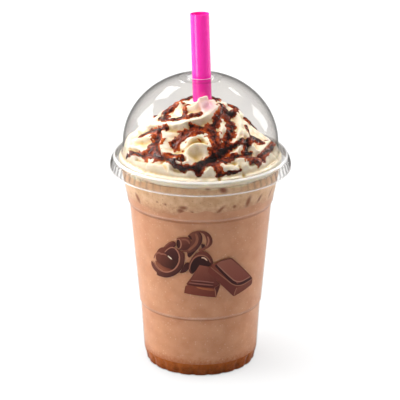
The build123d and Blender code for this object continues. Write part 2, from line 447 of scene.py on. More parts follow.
# Pockets of shake that show dark in the froth: bearing, height, half width, half height and
# lean. The last three are round the back.
POCKETS = [
    (-55, 106.0, 1.9, 3.2, 0.4), (-27, 107.4, 0.9, 0.8, 0.0), (-13, 106.6, 2.6, 1.3, 0.0),
    (-15, 104.6, 2.2, 1.6, 0.0), (15, 105.2, 1.3, 2.5, -0.8), (26, 106.2, 1.1, 1.1, 0.0),
    (38, 107.4, 1.7, 4.0, -0.2), (50, 107.0, 1.4, 2.6, -0.6), (66, 106.6, 1.2, 3.0, -0.6),
    (-34, 108.0, 0.6, 0.6, 0.0), (-6, 103.6, 0.9, 1.4, 0.3), (3, 103.0, 1.0, 1.3, 0.0),
    (16, 117.6, 2.4, 2.4, 0.4), (5, 118.6, 1.6, 0.6, 0.0),
    (118, 107, 1.2, 2.0, 0.3), (163, 106, 1.6, 1.4, 0.0), (204, 108, 0.9, 2.4, -0.4),
]
froth_pockets = np.zeros(len(foam.data.vertices))
froth_cream = np.zeros(len(foam.data.vertices))
for i, vertex in enumerate(foam.data.vertices):
    x, y, z = vertex.co / MM
    turn = math.degrees(math.atan2(x, -y))
    for bearing, height, half_width, half_height, lean in POCKETS:
        across = math.radians((turn - bearing + 180) % 360 - 180) * wall_reach(z)
        up = z - height
        far = math.hypot((across + lean * up) / half_width, up / half_height)
        froth_pockets[i] = max(froth_pockets[i], min(1.0, max(0.0, 1.5 - 1.2 * far)))
    lap = 0.4 + 0.9 * math.sin(math.radians(5 * turn))
    lap += 0.6 * math.sin(math.radians(13 * turn + 40))
    froth_cream[i] = min(1.0, max(0.0, (z - FOAM_TOP + lap) / 1.2))
paint(foam, "pocket", froth_pockets)
paint(foam, "cream", froth_cream)

shake.data.materials.append(milky(
    "blended_shake", "#ca916c", "#be825c", 9, 1.4, 0.35, "#f2dcc8", ("#a4592a", 7.0, 12.0), wet=0.3
))
foam.data.materials.append(milky(
    "milk_froth", "#deb690", "#c89a70", 5, 1.1, 0.85, "#9a623e", ("#b87c58", 99.0, 108.0), wet=0.3
))
settled.data.materials.append(milky(
    "sunk_syrup", "#ac5a20", "#8e4511", 4, 1.5, 0.15, "#b87c48", ("#70340c", -1.0, 6.0), wet=0.05
))

# ------------------------------------------------------------------------ straw
# A wide extruded polypropylene straw, magenta right through, cut square at both ends. It
# stands in the drink and leans back against the far edge of the lid's hole.
STRAW_RADIUS, STRAW_WALL, STRAW_LENGTH = 5.3, 0.4, 196.0
STRAW_FOOT = (5.60, -14.71, 9.5)
STRAW_LEAN = Vector((-math.tan(math.radians(1.8)), math.tan(math.radians(5.6)), 1)).normalized()
STRAW_BORE = STRAW_RADIUS - STRAW_WALL
BEVEL = 0.1

straw = lathe(
    "drinking_straw",
    [
        (STRAW_BORE, 0), (STRAW_RADIUS - BEVEL, 0), (STRAW_RADIUS, BEVEL),
        *[(STRAW_RADIUS, STRAW_LENGTH * i / 12) for i in range(1, 12)],
        (STRAW_RADIUS, STRAW_LENGTH - BEVEL), (STRAW_RADIUS - BEVEL, STRAW_LENGTH),
        (STRAW_BORE, STRAW_LENGTH), (STRAW_BORE, 0),
    ],
    64,
)
turn = STRAW_LEAN.to_track_quat("Z", "Y").to_matrix()
for vertex in straw.data.vertices:
    vertex.co = turn @ vertex.co + Vector(STRAW_FOOT) * MM
smooth(straw)
pink, tree, out = material("extruded_pink_polypropylene")
plastic = node(
    tree, "ShaderNodeBsdfPrincipled",
    [("Base Color", srgb("#f428a6")), ("Roughness", 0.2), ("IOR", 1.49),
     ("Subsurface Weight", 0.1), ("Subsurface Radius", (0.002, 0.0005, 0.001)),
     ("Subsurface Scale", 1.0)],
)
tree.links.new(plastic.outputs[0], out.inputs["Surface"])
straw.data.materials.append(pink)
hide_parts("straw")
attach(straw, "root")
# The highlight down its left side comes from a small panel that lights nothing else.
card = softbox("straw_card", -56, 5, 0.25, 0.11, 0.09, 0.15)
shown_to = bpy.data.collections.new("shown_the_card")
shown_to.objects.link(straw)
card.light_linking.receiver_collection = shown_to

# ------------------------------------------------------------------------ whipped cream
# Whipped cream piped in a heap that fills the lower part of the dome. Its soft bands lap
# over each other in folds, and each fold leans out over the hollow under it.
CREAM_FOOT = 119.0
HEAP = [
    (0, 154.5), (5, 154.0), (14, 149.0), (21, 143.5), (24, 140.5), (31, 135.0), (37, 130.0),
    (41.5, 127.0), (43.6, 125.2), (45.3, 122.6), (45.7, 121.0), (45.8, 119.0),
]
CREAM_GRAIN = 0.6
FOLD_LEAN = 0.35
LID_FILM = 0.45
DOME_RADIUS, DOME_SPRING, DOME_RISE = 43.8, 130.5, 40.0
DOME_FOOT, FLANGE_TOP = 45.2, 124.3


def heap_height(reach):
    """The height of the heap's even surface at a distance from the cup's axis."""
    return np.interp(reach, [r for r, _ in HEAP], [z for _, z in HEAP])


def on_heap(bearing, reach):
    """The point on the heap at a bearing in degrees, from the front to the right."""
    across = math.radians(bearing)
    return (reach * math.sin(across), -reach * math.cos(across), float(heap_height(reach)))


def crest(points, rounds=2):
    """A soft line over the heap through given (bearing, reach) points."""
    line = np.array([on_heap(*point) for point in points])
    for _ in range(rounds):
        ahead, here = line[1:], line[:-1]
        inner = np.stack([0.75 * here + 0.25 * ahead, 0.25 * here + 0.75 * ahead], 1)
        line = np.concatenate([line[:1], inner.reshape(-1, 3), line[-1:]])
    return line


def heap_normal(places):
    """The even heap's outward direction at each place."""
    reach = np.maximum(np.hypot(places[:, 0], places[:, 1]), 0.01)
    slope = (heap_height(reach + 2.5) - heap_height(np.maximum(reach - 2.5, 0))) / 5
    x, y = places[:, 0], places[:, 1]
    out = np.stack([-slope * x / reach, -slope * y / reach, np.ones_like(reach)], 1)
    return out / np.linalg.norm(out, axis=1)[:, None]


def nearest_on(line, places, normals):
    """Distance from each place to a line, which side of it the place is, and how far along."""
    best = np.full(len(places), 1e9)
    side = np.zeros(len(places))
    along = np.zeros(len(places))
    for i, (start, end) in enumerate(zip(line, line[1:])):
        run = end - start
        share = np.clip((places - start) @ run / (run @ run), 0, 1)
        gap = places - (start + share[:, None] * run)
        distance = np.linalg.norm(gap, axis=1)
        closer = distance < best
        best[closer] = distance[closer]
        across = np.einsum("ij,ij->i", np.cross(run, normals), gap)
        side[closer] = across[closer]
        along[closer] = (i + share[closer]) / (len(line) - 1)
    return best, side, along


# Each fold: its crest, how high it stands, and how far it spreads to its right and its left,
# walking along the crest. The steeper side is the one that the fold leans over.
FRONT_FOLDS = [
    (
        [(-92, 30), (-79, 24), (-49, 21), (-33, 19), (-17, 16), (5, 15), (39, 11), (80, 9)],
        4.0, 2.2, 5.0,
    ),
    ([(-60, 10), (-25, 8), (15, 7.5), (50, 8)], 3.0, 2.5, 3.0),
    ([(-24, 8), (0, 8.5), (30, 7.5), (60, 8)], 3.6, 3.0, 2.6),
    ([(-2, 8.8), (26, 8.2)], 7.0, 4.6, 4.2),
    ([(-98, 22), (-106, 15), (-92, 9)], 3.0, 2.5, 3.5),
    ([(-54, 23), (-42, 26), (-41, 31), (-31, 34), (-20, 36), (-12, 34)], 4.2, 2.4, 3.2),
    ([(9, 30), (-6, 30), (-13, 34), (-8, 38), (-11, 40), (-18, 40), (-24, 38)], 4.6, 2.2, 2.2),
    ([(-17, 31), (-13, 25), (-2, 23), (8, 25), (11, 30)], 3.4, 1.8, 4.0),
    ([(-10, 32), (-3, 28), (8, 30)], 3.0, 2.2, 1.6),
    ([(38, 20), (29, 23), (18, 28)], 3.2, 1.6, 1.9),
    ([(90, 17), (77, 20), (62, 24), (48, 27), (37, 31)], 4.4, 2.4, 3.2),
    ([(62, 26), (46, 31), (34, 35), (27, 35)], 3.8, 2.0, 2.2),
    ([(62, 26), (54, 32), (54, 37), (67, 36), (84, 36)], 4.0, 2.2, 2.2),
    ([(34, 36), (41, 38), (50, 40)], 2.6, 1.6, 2.0),
    ([(-82, 36), (-70, 31), (-57, 28)], 3.6, 2.2, 4.0),
    ([(-84, 41), (-77, 39), (-68, 36), (-52, 36)], 3.6, 2.0, 3.0),
    ([(-78, 42), (-62, 42), (-50, 41), (-40, 40), (-29, 40), (-20, 42)], 3.6, 6.5, 2.2),
    ([(-22, 43), (-12, 42), (-2, 43)], 2.6, 3.5, 2.0),
    ([(9, 40), (7, 42), (4, 44)], 3.4, 1.8, 1.8),
    ([(14, 41), (23, 38.5), (33, 38.5), (40, 41), (53, 42), (70, 42)], 3.6, 5.5, 2.2),
    ([(74, 35), (84, 38), (84, 42)], 3.2, 2.2, 2.6),
]


# Creases pressed between the lobes above the flange: a line, how deep, and how far it spreads.
CREASES = [
    ([(-58, 42), (-44, 41.2), (-31, 39.6)], 3.0, 1.9),
    ([(-24, 42.4), (-17, 42.4), (-10, 42.2)], 2.6, 1.6),
    ([(19, 39.2), (26, 38.6), (30, 40.2)], 3.0, 1.7),
    ([(38, 42.2), (50, 42.4), (62, 42.4)], 2.4, 1.6),
    ([(-31, 40), (-27, 42), (-24, 44)], 2.2, 1.2), ([(12, 40.5), (13, 42.5), (14, 45)], 2.4, 1.2),
    ([(31, 41), (32, 43), (33, 45)], 2.2, 1.2), ([(-62, 40), (-65, 42.5), (-68, 45)], 2.2, 1.2),
    ([(-46, 42), (-44, 43.5), (-43, 45.2)], 1.8, 1.1), ([(52, 39), (55, 42), (57, 45)], 2.0, 1.2),
    ([(72, 39), (76, 42), (77, 45)], 2.0, 1.2), ([(-3, 41), (-4, 43), (-4, 45)], 1.8, 1.1),
]


# The rows of folds round the back: reach, how many degrees each fold spans, and height.
BACK_ROWS = [(12, 80, 3.0), (21, 56, 3.2), (30, 42, 3.6), (38, 34, 3.6)]


def back_folds():
    """Folds round the side that faces away: lapped arcs, each row staggered on the last."""
    made = []
    for row, (reach, span, tall) in enumerate(BACK_ROWS):
        bearing = 92 + 17 * row
        while bearing + span < 275:
            sway = 2.2 * math.sin(1.7 * bearing)
            made.append((
                [
                    (bearing, reach + 2.5 + sway), (bearing + 0.35 * span, reach - 1.0),
                    (bearing + 0.7 * span, reach + 0.5), (bearing + span, reach + 4.0 - sway),
                ],
                tall + 0.5 * math.sin(bearing), 2.4, 5.0,
            ))
            bearing += 0.8 * span
    return made


def fold_height(places, normals):
    """How far the folds lift each place off the even heap, and which way they lean there."""
    lift = np.zeros(len(places))
    lean = np.zeros((len(places), 3))
    for points, tall, right, left in FRONT_FOLDS + back_folds():
        line = crest(points)
        distance, side, along = nearest_on(line, places, normals)
        width = np.where(side > 0, right, left)
        shape = np.exp(-((distance / width) ** 1.6))
        ends = np.clip(np.minimum(along, 1 - along) * 7 + 0.25, 0, 1)
        grooves = 1 + 0.07 * np.cos(2.4 * distance)
        rise = tall * shape * ends * grooves
        to_side = np.cross(line[-1] - line[0], normals)
        to_side /= np.maximum(np.linalg.norm(to_side, axis=1), 1e-6)[:, None]
        way = 1.0 if right <= left else -1.0
        higher = rise > lift
        lean[higher] = (way * to_side * rise[:, None] * FOLD_LEAN)[higher]
        lift = np.maximum(lift, rise) + 0.15 * np.minimum(lift, rise)
    for points, deep, width in CREASES:
        distance, _, along = nearest_on(crest(points), places, normals)
        ends = np.clip(np.minimum(along, 1 - along) * 6 + 0.3, 0, 1)
        lift -= deep * np.exp(-((distance / width) ** 2)) * ends
    return lift, lean


def keep_inside(places, gap):
    """Holds places just inside the cup and the dome."""
    reach = np.hypot(places[:, 0], places[:, 1])
    height = places[:, 2]
    inner = DOME_RADIUS - LID_FILM
    above = np.clip((height - DOME_SPRING) / (DOME_RISE - LID_FILM), 0, 0.999)
    dome = inner * np.sqrt(1 - above**2)
    neck = np.interp(height, [FLANGE_TOP, DOME_SPRING], [DOME_FOOT - LID_FILM - 0.6, inner])
    cup_side = np.interp(height, wall_heights, wall_reaches) - FILM + 2 * BITE
    in_lid = np.where(height > DOME_SPRING, dome, neck)
    limit = np.where(height > FLANGE_TOP, in_lid, cup_side) - gap
    shrink = np.minimum(1.0, limit / np.maximum(reach, 0.01))
    places[:, :2] *= shrink[:, None]
    return places


def noise_at(places, size):
    """Smooth noise with grains of a size in millimetres, from about -1 to 1, at each place."""
    return np.array([noise.noise(Vector(place) / size) for place in places])


def vertex_places(piece):
    """The piece's points in millimetres, as an array."""
    flat = np.empty(len(piece.data.vertices) * 3)
    piece.data.vertices.foreach_get("co", flat)
    return flat.reshape(-1, 3) / MM


def set_places(piece, places):
    """Moves the piece's points to places in millimetres."""
    piece.data.vertices.foreach_set("co", (places * MM).ravel())
    piece.data.update()


cream = lathe("whipped_cream_folds", [(0, CREAM_FOOT), *reversed(HEAP)], 96)
apply(cream, "even_grain", "REMESH", mode="VOXEL", voxel_size=CREAM_GRAIN * MM)
places = vertex_places(cream)
normals = heap_normal(places)
lift, lean = fold_height(places, normals)
ripple = noise_at(places, 3.2) + 0.5 * noise_at(places, 1.6)
furrow = np.abs(noise_at(places / (7, 7, 4), 1))
lift += 0.45 * ripple + 2.2 * np.minimum(furrow, 0.35)
top = np.clip((places[:, 2] - CREAM_FOOT - 0.8) / 3.0, 0, 1)
places += (normals * lift[:, None] + lean) * top[:, None]
set_places(cream, keep_inside(places, 0.1))
apply(cream, "knit", "REMESH", mode="VOXEL", voxel_size=CREAM_GRAIN * MM)
apply(cream, "soften", "SMOOTH", factor=0.5, iterations=2)
smooth(cream, 180)


def hollows(piece, rounds):
    """How deep each point lies under the surface that its neighbours make, in millimetres."""
    edges = np.empty(len(piece.data.edges) * 2, dtype=np.int64)
    piece.data.edges.foreach_get("vertices", edges)
    first, second = edges.reshape(-1, 2).T
    start = vertex_places(piece)
    count = np.bincount(edges, minlength=len(start))[:, None]
    eased_places = start
    for _ in range(rounds):
        total = np.zeros_like(start)
        np.add.at(total, first, eased_places[second])
        np.add.at(total, second, eased_places[first])
        eased_places = total / count
    outward = vertex_normals(piece)
    return np.einsum("ij,ij->i", eased_places - start, outward)


def vertex_normals(piece):
    """The piece's outward direction at each point."""
    flat = np.empty(len(piece.data.vertices) * 3)
    piece.data.vertices.foreach_get("normal", flat)
    return flat.reshape(-1, 3)


cream_hollow = hollows(cream, 24)
paint(cream, "hollow", cream_hollow)
# The pink of the straw glowing through the thin cream in front of it is painted on, as a
# pink patch on the cream.
GLOW_AT, GLOW_WIDTH = (3.5, -9.5, 155.0), 4.2
cream_places = vertex_places(cream)
from_glow = np.linalg.norm(cream_places - np.array(GLOW_AT), axis=1)
paint(cream, "glow", 0.85 * np.exp(-((from_glow / GLOW_WIDTH) ** 2)))
# Against the wall its foot has taken up froth, to an uneven line.
SOAKED_TO = 120.2
round_cup = np.arctan2(cream_places[:, 0], -cream_places[:, 1])
soaked = SOAKED_TO + 0.4 * np.sin(6 * round_cup) + 0.5 * np.sin(17 * round_cup + 1)
paint(cream, "froth", np.clip((soaked - cream_places[:, 2]) / 0.9, 0, 1))
whipped, tree, out = material("whipped_dairy_cream")
# In its hollows the cream is painted darker and yellower: painted shade.
hollow_shade = spread(tree, stored(tree, "hollow"), -0.15, 0.75)
cream_with_hollow_shade = mix(tree, hollow_shade, srgb("#f5e9d3"), srgb("#caa653"))
# The straw's glow through the cream is painted pink here.
with_painted_straw_glow = mix(tree, stored(tree, "glow"), cream_with_hollow_shade, srgb("#f9a9d6"))
footed = mix(tree, stored(tree, "froth"), with_painted_straw_glow, srgb("#f0d2b0"))
churned = grain(tree, 2.4, Detail=3.0, Distortion=0.8)
grooved = node(
    tree, "ShaderNodeBump", [("Strength", 0.6), ("Distance", 0.6 * MM), ("Height", churned)]
)
dairy = node(
    tree, "ShaderNodeBsdfPrincipled",
    [("Normal", grooved.outputs["Normal"]), ("Base Color", footed), ("Roughness", 0.5),
     ("IOR", 1.4), ("Subsurface Weight", 0.3),
     ("Subsurface Radius", (0.003, 0.002, 0.001)), ("Subsurface Scale", 1.0)],
)
tree.links.new(dairy.outputs[0], out.inputs["Surface"])
cream.data.materials.append(whipped)
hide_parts("whipped_cream")
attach(cream, "root")

# ------------------------------------------------------------------------ chocolate sauce
# Chocolate sauce poured over the cream. It clings to the folds as a film up to about a
# millimetre and a half thick, runs down into the hollows, and thins out to nothing at its edges.
POURS = [
    # each pour: its line as (bearing, reach), its half width and its depth in the middle
    ([(-98, 10), (-95, 15), (-94, 19)], 2.0, 0.9),
    ([(-90, 21.5), (-70, 20.5), (-52, 18.5), (-32, 15.5), (-17, 14.5), (-3, 13.5)], 1.9, 1.1),
    ([(-86, 20), (-72, 19)], 3.2, 1.2),
    ([(-58, 8.5), (-44, 12), (-31, 15)], 1.9, 0.9),
    ([(-50, 22.5), (-66, 25.5), (-78, 29), (-75, 32)], 2.4, 1.0),
    ([(-54, 28), (-51, 32), (-50, 36.5)], 4.2, 0.9),
    ([(-48, 28.5), (-44, 33), (-40, 36.5)], 3.8, 0.9),
    ([(-71, 43), (-69, 41), (-57, 39), (-41, 37), (-27, 35.5), (-16, 35.5)], 1.8, 1.2),
    ([(-26, 37.5), (-20, 39), (-13, 40.5), (-7, 40.5), (-3, 39)], 2.0, 1.5),
    ([(-25, 28.5), (-26, 25), (-18, 22.5), (-3, 21.5)], 4.2, 0.95),
    ([(-17, 18.5), (-4, 20), (10, 20.5)], 1.4, 1.3),
    ([(10, 20.5), (28, 18), (45, 14), (85, 11)], 2.9, 1.0),
    ([(77, 13), (64, 16.5), (92, 18)], 2.5, 1.4),
    ([(60, 16), (47, 22), (34, 26.5), (24, 31)], 3.0, 1.0),
    ([(13, 21), (18, 24), (16, 29), (14, 33)], 3.7, 1.0),
    ([(20, 32), (12, 34.5), (3, 36.5), (-2, 38.5), (-2, 41.5)], 3.0, 1.6),
    ([(-2, 41.5), (0, 42.5), (-2, 43.5)], 1.8, 1.2),
    ([(46, 30), (35, 30.5), (24, 32)], 2.1, 1.6),
    ([(15, 37.5), (23, 36), (31, 35.5), (37, 37.5), (43, 39.5), (49, 41)], 2.0, 1.2),
    ([(87, 25), (75, 26.5), (70, 28.5)], 1.3, 1.0),
    ([(69, 29.5), (76, 32), (70, 34.5)], 2.7, 1.1),
    ([(55, 30.5), (48, 33), (40, 35), (47, 36)], 2.0, 1.3),
    ([(87, 37.5), (78, 39.5), (66, 39), (55, 40), (48, 41.5)], 2.4, 1.0),
    ([(1, 38.5), (5, 37), (10, 37), (13, 39), (14, 41), (17, 42.5)], 2.1, 0.8),
    ([(12, 43), (18, 43), (26, 43)], 1.3, 1.1),
    ([(20, 42.5), (25, 42.5), (30, 42.5)], 1.3, 1.3),
]


def back_pours():
    """Pours over the side that faces away: zigzags from near the straw to the dome's foot."""
    made = []
    for first in range(126, 240, 26):
        line = [
            (first + (9 if i % 2 else -8) + 3 * math.sin(2.1 * first + i), reach)
            for i, reach in enumerate((9, 16, 22, 28, 34, 40))
        ]
        made.append((line, 2.0 + 0.6 * math.sin(first), 1.2))
    return made


# Depths are of the sauce's surface over the cream's, in millimetres: it shows where above 0.
NO_SAUCE, MOST_SAUCE = -1.0, 1.6
sauce_base = vertex_places(cream)
outward = vertex_normals(cream)
even_out = heap_normal(sauce_base)
above = sauce_base[:, 2] - heap_height(np.hypot(sauce_base[:, 0], sauce_base[:, 1]))
on_even = sauce_base - even_out * (above * even_out[:, 2])[:, None]
ragged = 1 + 0.5 * (noise_at(sauce_base, 2.8) + noise_at(sauce_base, 1.5))
depth = np.full(len(sauce_base), NO_SAUCE)
for points, half_width, deep_mm in POURS + back_pours():
    distance, _, _ = nearest_on(crest(points), on_even, even_out)
    depth = np.maximum(depth, deep_mm * (1 - (distance / (half_width * ragged)) ** 3))
depth += np.clip(0.7 * cream_hollow, -0.8, 0.8)
depth += 0.3 * (noise_at(-sauce_base, 2.2) + noise_at(-sauce_base, 1.1))
depth = np.where(sauce_base[:, 2] < CREAM_FOOT + 1, NO_SAUCE, np.clip(depth, -0.9, MOST_SAUCE))
across_straw = np.cross(sauce_base - np.array(STRAW_FOOT), np.array(STRAW_LEAN))
depth[np.linalg.norm(across_straw, axis=1) < STRAW_RADIUS - STRAW_WALL / 2] = NO_SAUCE

choose(cream)
bpy.ops.object.duplicate()
sauce = bpy.context.object
sauce.name = "chocolate_sauce"
sauce.data.materials.clear()
set_places(sauce, keep_inside(sauce_base + outward * depth[:, None], 0.05))
paint(sauce, "depth", depth)
bpy.ops.object.mode_set(mode="EDIT")
bpy.ops.mesh.select_mode(type="VERT")
bpy.ops.mesh.select_all(action="DESELECT")
bpy.ops.object.mode_set(mode="OBJECT")
# What lies this far under the cream is never seen, so it is left out.
sauce.data.vertices.foreach_set("select", depth < -0.75)
bpy.ops.object.mode_set(mode="EDIT")
bpy.ops.mesh.delete(type="VERT")
bpy.ops.mesh.select_all(action="SELECT")
bpy.ops.mesh.delete_loose(use_verts=True, use_edges=True, use_faces=False)
bpy.ops.object.mode_set(mode="OBJECT")
apply(sauce, "settle", "SMOOTH", factor=0.5, iterations=2)
apply(sauce, "underside", "SOLIDIFY", thickness=0.3 * MM, offset=-1.0)
smooth(sauce, 180)
syrup, tree, out = material("poured_chocolate_sauce")
uneven = spread(tree, grain(tree, 2.2, Detail=3.0, Distortion=1.5), 0.3, 0.7, -0.5, 0.5)
streaked = reckon(tree, "ADD", stored(tree, "depth"), uneven)
brown = node(tree, "ShaderNodeValToRGB", [("Fac", spread(tree, streaked, -0.1, 1.4))])
brown.color_ramp.elements[0].color = srgb("#c8661e")
brown.color_ramp.elements[1].color = srgb("#120403")
brown.color_ramp.elements.new(0.30).color = srgb("#a84416")
brown.color_ramp.elements.new(0.58).color = srgb("#6a210c")
wrinkles = grain(tree, 1.4, Detail=2.0, Distortion=1.2)
rumpled = node(
    tree, "ShaderNodeBump", [("Strength", 0.7), ("Distance", 0.5 * MM), ("Height", wrinkles)]
)
gloss = node(
    tree, "ShaderNodeBsdfPrincipled",
    [("Base Color", brown.outputs["Color"]), ("Roughness", 0.12), ("IOR", 1.42),
     ("Normal", rumpled.outputs["Normal"])],
)
tree.links.new(gloss.outputs[0], out.inputs["Surface"])
sauce.data.materials.append(syrup)
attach(sauce, "root")

# The cream is bored out round the straw, to the middle of the straw's wall.
BORE_LENGTH, BORE_MIDDLE = 80, 146
bpy.ops.mesh.primitive_cylinder_add(
    vertices=48, radius=(STRAW_RADIUS - STRAW_WALL / 2) * MM, depth=BORE_LENGTH * MM
)
bore = bpy.context.object
bore.location = Vector(STRAW_FOOT) * MM + STRAW_LEAN * (BORE_MIDDLE * MM)
bore.rotation_euler = STRAW_LEAN.to_track_quat("Z", "Y").to_euler()
apply(cream, "bored", "BOOLEAN", operation="DIFFERENCE", solver="EXACT", object=bore)
bpy.data.objects.remove(bore)

# ------------------------------------------------------------------------ dome lid
# A thin PET lid: a ribbed skirt that grips the rim, a flat flange, and a tall dome with a
# round hole for the straw. The hole has a turned-up lip and a low ring moulded round it.
RIBS, RIB_PROUD = 72, 0.6
RIB_FOOT, RIB_TOP = 117.2, 122.4
CROWN_DISC, HOLE_RADIUS = 12.8, 7.4
crown_angle = math.degrees(math.acos(CROWN_DISC / DOME_RADIUS))
dome_curve = [
    (DOME_RADIUS * math.cos(math.radians(a)), DOME_SPRING + DOME_RISE * math.sin(math.radians(a)))
    for a in np.linspace(0, crown_angle, 36)
]
crown_height = dome_curve[-1][1]
skirt = [(50.95 - 1.55 * i / 14, 116.9 + 6.2 * i / 14) for i in range(15)]
lid_outline = (
    [(50.5, 116.3), (51.0, 116.35), (51.15, 116.6), (51.0, 116.85)]
    + skirt
    + arc((48.0, 122.9), 1.4, 15, 90, 6)
    + eased([(47.0, 124.3), (45.9, 124.3), (44.6, 125.2), *dome_curve[:2]], 0.5)[:-1]
    + dome_curve[1:]
    + eased(
        [dome_curve[-1], (12.3, crown_height + 0.35), (11.6, crown_height + 0.1),
         (HOLE_RADIUS + 0.9, crown_height + 0.1), (HOLE_RADIUS + 0.35, crown_height + 1.1),
         (HOLE_RADIUS, crown_height + 1.1)], 0.3,
    )[1:]
)
lid = lathe("dome_lid_film", lid_outline, RIBS * 6)
for vertex in lid.data.vertices:
    x, y, z = vertex.co / MM
    if RIB_FOOT < z < RIB_TOP and math.hypot(x, y) > 49:
        proud = min(1, 1.6 * max(0.0, math.cos(RIBS * math.atan2(y, x))))
        proud *= min(1, z - RIB_FOOT, RIB_TOP - z)
        vertex.co.x *= 1 + RIB_PROUD * proud / math.hypot(x, y)
        vertex.co.y *= 1 + RIB_PROUD * proud / math.hypot(x, y)
thicken(lid, LID_FILM)
smooth(lid)
for film in (
    clear_film("moulded_PET_dome", "#f5f4f3", "#7e7b79", 0.014, 0.16, 0.005),
    clear_film("PET_edges_painted_highlight", "#f8f7f6", "#9d9a98", 0.05, 0.30, 0.10, highlight_haze=0.26),
    clear_film(
        "ribbed_PET_skirt", "#fdfcfb", "#807c7a", 0.02, 0.16, 0.03, onset=2.2, gloss_onset=3.5
    ),
    clear_film("flat_PET_flange", "#faf9f8", "#8a8684", 0.03, 0.22, 0.05, gloss_onset=3.0),
):
    lid.data.materials.append(film)
# The edges whose white haze paints highlight lines are the bead, the lip round the hole
# and the flange's rounded corner.
BEAD_TOP, CORNER_FOOT, SKIRT_TOP = 117.1, 123.1, 122.3
for face in lid.data.polygons:
    x, y, z = face.center / MM
    reach = math.hypot(x, y)
    at_lip = z > crown_height + 0.9 and reach < HOLE_RADIUS + 0.5
    at_corner = CORNER_FOOT < z < FLANGE_TOP - 0.02 and reach > 48.2
    if z < BEAD_TOP or at_lip or at_corner:
        face.material_index = 1
    elif z < FLANGE_TOP + 0.5:
        face.material_index = 2 if z < SKIRT_TOP else 3
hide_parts("dome_lid")
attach(lid, "root")

